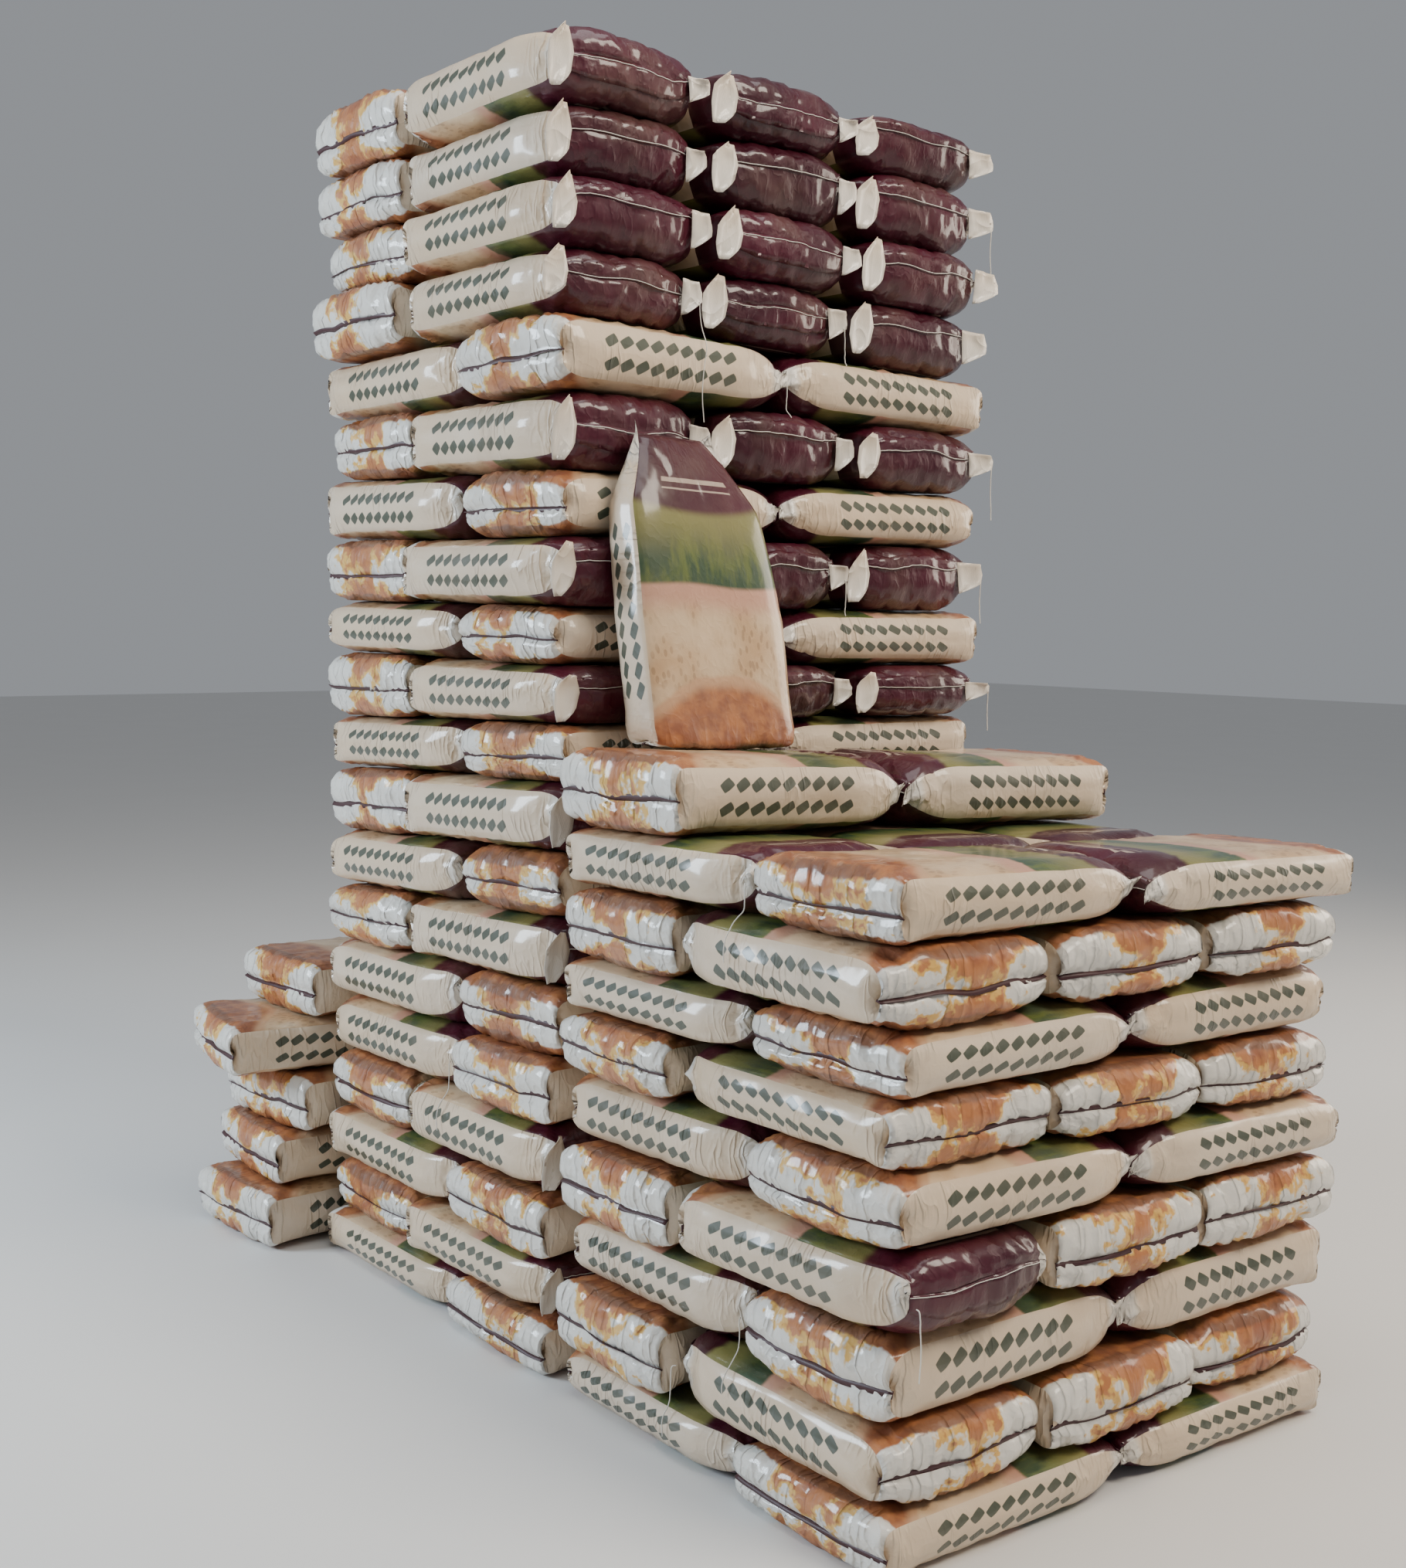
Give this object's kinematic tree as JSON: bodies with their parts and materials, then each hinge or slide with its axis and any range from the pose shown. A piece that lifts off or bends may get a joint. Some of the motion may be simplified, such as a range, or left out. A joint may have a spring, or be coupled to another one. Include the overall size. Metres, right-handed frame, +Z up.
{
  "type": "stack of filled sacks",
  "caption": "Stack of filled, side-gusseted grain sacks laid flat in crossed layers: a tall tower with a lower block in front and a sack standing on the block.",
  "frame": {"origin": "middle of the footprint's box, on the floor", "axes": "+Z up; +Y from the low block at the front to the tower and the pile behind it; +X to the right along the front face"},
  "size_m": [1.5024, 2.6412, 2.8289],
  "materials": {
    "laminated_film": "glossy printed film over woven plastic, creased",
    "seam_tape": "dark woven binding tape",
    "stitch_thread": "twisted white cotton thread"
  },
  "bodies": {
    "root": {"block_layer_01": "laminated_film", "block_layer_02": "laminated_film", "block_layer_03": "laminated_film", "block_layer_04": "laminated_film", "block_layer_05": "laminated_film", "block_layer_06": "laminated_film", "block_layer_07": "laminated_film", "block_layer_08": "laminated_film", "block_layer_09": "laminated_film", "step_layer": "laminated_film", "standing_sack": "laminated_film", "tower_layer_01": "laminated_film", "tower_layer_02": "laminated_film", "tower_layer_03": "laminated_film", "tower_layer_04": "laminated_film", "tower_layer_05": "laminated_film", "tower_layer_06": "laminated_film", "tower_layer_07": "laminated_film", "tower_layer_08": "laminated_film", "tower_layer_09": "laminated_film", "tower_layer_10": "laminated_film", "tower_layer_11": "laminated_film", "tower_layer_12": "laminated_film", "tower_layer_13": "laminated_film", "tower_layer_14": "laminated_film", "tower_layer_15": "laminated_film", "tower_layer_16": "laminated_film", "tower_layer_17": "laminated_film", "tower_layer_18": "laminated_film", "tower_layer_19": "laminated_film", "tower_layer_20": "laminated_film", "rear_layer_01": "laminated_film", "rear_layer_02": "laminated_film", "rear_layer_03": "laminated_film", "rear_layer_04": "laminated_film", "rear_layer_05": "laminated_film", "thread_tail_01": "stitch_thread", "thread_tail_02": "stitch_thread", "thread_tail_03": "stitch_thread", "thread_tail_04": "stitch_thread", "thread_tail_05": "stitch_thread", "thread_tail_06": "stitch_thread", "thread_tail_07": "stitch_thread", "thread_tail_08": "stitch_thread", "thread_tail_09": "stitch_thread", "thread_tail_10": "stitch_thread", "thread_tail_11": "stitch_thread", "thread_tail_12": "stitch_thread", "thread_tail_13": "stitch_thread"}
  },
  "joints": []
}
